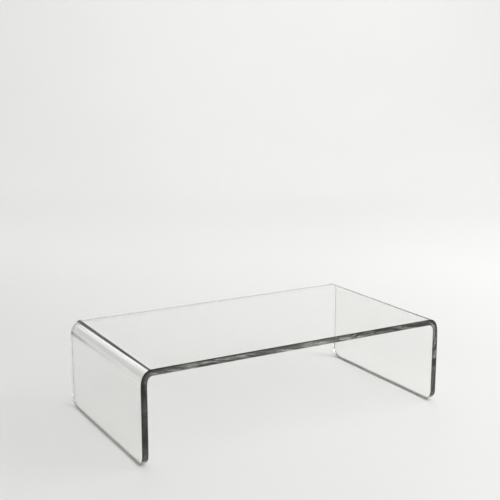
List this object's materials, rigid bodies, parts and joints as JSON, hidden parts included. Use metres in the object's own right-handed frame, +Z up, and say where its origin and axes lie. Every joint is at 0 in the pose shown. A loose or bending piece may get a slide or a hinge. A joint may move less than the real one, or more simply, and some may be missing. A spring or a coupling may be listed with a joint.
{
  "type": "monitor riser stand",
  "caption": "Clear acrylic riser heat-bent from one sheet into a flat deck on two upright legs, with small clear stick-on feet, for raising a screen or laptop over a desk.",
  "frame": {"origin": "middle of the footprint, on the plane the feet rest on", "axes": "+X along the deck's width, +Y from the front edge to the rear edge, +Z up out of the deck"},
  "size_m": [0.381, 0.2032, 0.1028],
  "materials": {
    "clear_acrylic": "clear, polished faces and flame-polished edges",
    "clear_bumper": "clear soft polyurethane, slightly hazy",
    "clear_adhesive": "clear pressure-sensitive adhesive film"
  },
  "bodies": {
    "root": {"riser_sheet": "clear_acrylic", "foot_front_left": "clear_bumper", "foot_front_right": "clear_bumper", "foot_rear_left": "clear_bumper", "foot_rear_right": "clear_bumper", "adhesive_front_left": "clear_adhesive", "adhesive_front_right": "clear_adhesive", "adhesive_rear_left": "clear_adhesive", "adhesive_rear_right": "clear_adhesive"}
  },
  "joints": []
}
